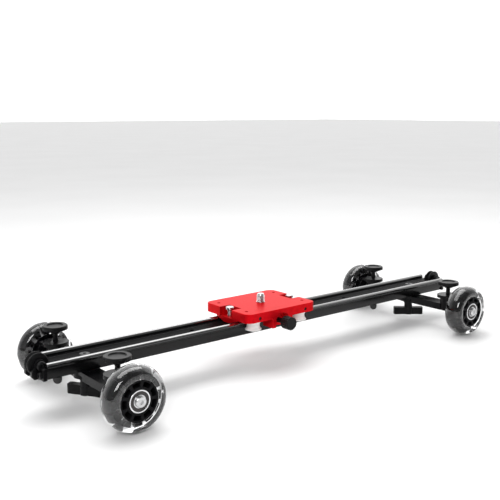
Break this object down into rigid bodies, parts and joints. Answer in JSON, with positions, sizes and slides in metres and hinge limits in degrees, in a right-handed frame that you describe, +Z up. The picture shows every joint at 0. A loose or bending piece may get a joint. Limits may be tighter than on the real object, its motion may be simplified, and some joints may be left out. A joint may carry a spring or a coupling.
{
  "type": "camera slider",
  "caption": "Camera slider: a roller carriage with a head stud runs on a beaded track, carried on swinging arms with swivelling clear wheels so it also works as a dolly.",
  "frame": {"origin": "centre of the lower mouth of the threaded tripod socket in the middle of the track's web; the wheels stand 47 mm below it", "axes": "+X along the track, +Z up, and the brake knob is on the -Y side"},
  "size_m": [0.626, 0.2185, 0.0782],
  "materials": {
    "track_black": "glossy black anodised extrusion",
    "carriage_red": "satin red anodised, machined",
    "roller_white": "turned white acetal",
    "screw_steel": "bright steel",
    "bearing_steel": "ground steel rings with a dark seal",
    "black_metal": "semi-gloss black coating on cast metal",
    "black_fastener": "black oxide",
    "knob_plastic": "satin moulded black plastic",
    "pulley_plastic": "moulded black plastic",
    "tyre_clear": "clear smoke-tinted polyurethane",
    "hub_black": "moulded black plastic",
    "foot_rubber": "matte black rubber"
  },
  "bodies": {
    "track": {"track_web": "track_black", "track_rail_front": "track_black", "track_rail_back": "track_black", "pivot_spacers": "black_metal", "bracket_screws": "black_fastener", "rubber_feet": "foot_rubber", "end_bracket_left": "black_metal", "end_bracket_right": "black_metal", "pulley_axle_left": "black_fastener", "pulley_axle_right": "black_fastener", "pivot_bolt_left": "black_fastener", "pivot_bolt_right": "black_fastener"},
    "carriage": {"carriage_plate": "carriage_red", "guide_shoe": "carriage_red", "brake_block": "carriage_red", "roller_axles": "screw_steel", "cord_screws": "screw_steel", "head_stud": "screw_steel", "carriage_screws": "black_fastener"},
    "brake_knob": {"brake_knob": "knob_plastic"},
    "pulley_left": {"pulley_left": "pulley_plastic"},
    "wing_knob_left": {"wing_knob_left": "knob_plastic"},
    "pulley_right": {"pulley_right": "pulley_plastic"},
    "wing_knob_right": {"wing_knob_right": "knob_plastic"},
    "roller_fl": {"roller_fl": "roller_white", "roller_bearing_fl": "bearing_steel"},
    "arm_fl": {"arm_fl": "black_metal"},
    "truck_fl": {"swivel_bracket_fl": "black_metal", "axle_fl": "screw_steel"},
    "wheel_fl": {"tyre_fl": "tyre_clear", "wheel_hub_fl": "hub_black", "wheel_bearings_fl": "bearing_steel"},
    "swivel_knob_fl": {"swivel_knob_fl": "knob_plastic"},
    "roller_fr": {"roller_fr": "roller_white", "roller_bearing_fr": "bearing_steel"},
    "arm_fr": {"arm_fr": "black_metal"},
    "truck_fr": {"swivel_bracket_fr": "black_metal", "axle_fr": "screw_steel"},
    "wheel_fr": {"tyre_fr": "tyre_clear", "wheel_hub_fr": "hub_black", "wheel_bearings_fr": "bearing_steel"},
    "swivel_knob_fr": {"swivel_knob_fr": "knob_plastic"},
    "roller_bl": {"roller_bl": "roller_white", "roller_bearing_bl": "bearing_steel"},
    "arm_bl": {"arm_bl": "black_metal"},
    "truck_bl": {"swivel_bracket_bl": "black_metal", "axle_bl": "screw_steel"},
    "wheel_bl": {"tyre_bl": "tyre_clear", "wheel_hub_bl": "hub_black", "wheel_bearings_bl": "bearing_steel"},
    "swivel_knob_bl": {"swivel_knob_bl": "knob_plastic"},
    "roller_br": {"roller_br": "roller_white", "roller_bearing_br": "bearing_steel"},
    "arm_br": {"arm_br": "black_metal"},
    "truck_br": {"swivel_bracket_br": "black_metal", "axle_br": "screw_steel"},
    "wheel_br": {"tyre_br": "tyre_clear", "wheel_hub_br": "hub_black", "wheel_bearings_br": "bearing_steel"},
    "swivel_knob_br": {"swivel_knob_br": "knob_plastic"}
  },
  "joints": [
    {"name": "carriage_slide", "type": "slide", "parent": "track", "child": "carriage", "axis": [1, 0, 0], "range_m": [-0.205, 0.248]},
    {"name": "brake_knob_turn", "type": "hinge", "parent": "carriage", "child": "brake_knob", "pos_m": [-0.022, -0.05, 0.0062], "axis": [0, -1, 0], "continuous": true},
    {"name": "pulley_spin_left", "type": "hinge", "parent": "track", "child": "pulley_left", "pos_m": [-0.302, 0, 0.0045], "axis": [0, 1, 0], "continuous": true},
    {"name": "wing_knob_turn_left", "type": "hinge", "parent": "track", "child": "wing_knob_left", "pos_m": [-0.251, 0, -0.027], "axis": [0, 0, 1], "continuous": true},
    {"name": "pulley_spin_right", "type": "hinge", "parent": "track", "child": "pulley_right", "pos_m": [0.302, 0, 0.0045], "axis": [0, 1, 0], "continuous": true},
    {"name": "wing_knob_turn_right", "type": "hinge", "parent": "track", "child": "wing_knob_right", "pos_m": [0.251, 0, -0.027], "axis": [0, 0, 1], "continuous": true},
    {"name": "roller_spin_fl", "type": "hinge", "parent": "carriage", "child": "roller_fl", "pos_m": [-0.0555, -0.0284, 0.0053], "axis": [0, 0, 1], "continuous": true},
    {"name": "arm_hinge_fl", "type": "hinge", "parent": "track", "child": "arm_fl", "pos_m": [-0.251, 0, -0.015], "axis": [0, 0, 1], "range_deg": [-25, 25]},
    {"name": "swivel_fl", "type": "hinge", "parent": "arm_fl", "child": "truck_fl", "pos_m": [-0.251, -0.0665, -0.001], "axis": [0, 0, 1], "range_deg": [-40, 40]},
    {"name": "wheel_spin_fl", "type": "hinge", "parent": "truck_fl", "child": "wheel_fl", "pos_m": [-0.251, -0.0945, -0.015], "axis": [0, -1, 0], "continuous": true},
    {"name": "swivel_knob_turn_fl", "type": "hinge", "parent": "arm_fl", "child": "swivel_knob_fl", "pos_m": [-0.251, -0.0665, 0.013], "axis": [0, 0, 1], "continuous": true},
    {"name": "roller_spin_fr", "type": "hinge", "parent": "carriage", "child": "roller_fr", "pos_m": [0.0135, -0.0284, 0.0053], "axis": [0, 0, 1], "continuous": true},
    {"name": "arm_hinge_fr", "type": "hinge", "parent": "track", "child": "arm_fr", "pos_m": [0.251, 0, -0.015], "axis": [0, 0, 1], "range_deg": [-25, 25]},
    {"name": "swivel_fr", "type": "hinge", "parent": "arm_fr", "child": "truck_fr", "pos_m": [0.251, -0.0665, -0.001], "axis": [0, 0, 1], "range_deg": [-40, 40]},
    {"name": "wheel_spin_fr", "type": "hinge", "parent": "truck_fr", "child": "wheel_fr", "pos_m": [0.251, -0.0945, -0.015], "axis": [0, -1, 0], "continuous": true},
    {"name": "swivel_knob_turn_fr", "type": "hinge", "parent": "arm_fr", "child": "swivel_knob_fr", "pos_m": [0.251, -0.0665, 0.013], "axis": [0, 0, 1], "continuous": true},
    {"name": "roller_spin_bl", "type": "hinge", "parent": "carriage", "child": "roller_bl", "pos_m": [-0.0555, 0.0284, 0.0053], "axis": [0, 0, 1], "continuous": true},
    {"name": "arm_hinge_bl", "type": "hinge", "parent": "track", "child": "arm_bl", "pos_m": [-0.251, 0, -0.015], "axis": [0, 0, 1], "range_deg": [-25, 25]},
    {"name": "swivel_bl", "type": "hinge", "parent": "arm_bl", "child": "truck_bl", "pos_m": [-0.251, 0.0665, -0.001], "axis": [0, 0, 1], "range_deg": [-40, 40]},
    {"name": "wheel_spin_bl", "type": "hinge", "parent": "truck_bl", "child": "wheel_bl", "pos_m": [-0.251, 0.0945, -0.015], "axis": [0, 1, 0], "continuous": true},
    {"name": "swivel_knob_turn_bl", "type": "hinge", "parent": "arm_bl", "child": "swivel_knob_bl", "pos_m": [-0.251, 0.0665, 0.013], "axis": [0, 0, 1], "continuous": true},
    {"name": "roller_spin_br", "type": "hinge", "parent": "carriage", "child": "roller_br", "pos_m": [0.0135, 0.0284, 0.0053], "axis": [0, 0, 1], "continuous": true},
    {"name": "arm_hinge_br", "type": "hinge", "parent": "track", "child": "arm_br", "pos_m": [0.251, 0, -0.015], "axis": [0, 0, 1], "range_deg": [-25, 25]},
    {"name": "swivel_br", "type": "hinge", "parent": "arm_br", "child": "truck_br", "pos_m": [0.251, 0.0665, -0.001], "axis": [0, 0, 1], "range_deg": [-30, 50]},
    {"name": "wheel_spin_br", "type": "hinge", "parent": "truck_br", "child": "wheel_br", "pos_m": [0.25586, 0.09408, -0.015], "axis": [0.1736, 0.9848, 0], "continuous": true},
    {"name": "swivel_knob_turn_br", "type": "hinge", "parent": "arm_br", "child": "swivel_knob_br", "pos_m": [0.251, 0.0665, 0.013], "axis": [0, 0, 1], "continuous": true}
  ],
  "couplings": [
    {"joint": "roller_spin_fl", "follows": "carriage_slide", "rad_per_m": 137.93},
    {"joint": "roller_spin_fr", "follows": "carriage_slide", "rad_per_m": 137.93},
    {"joint": "roller_spin_bl", "follows": "carriage_slide", "rad_per_m": -137.93},
    {"joint": "roller_spin_br", "follows": "carriage_slide", "rad_per_m": -137.93}
  ]
}
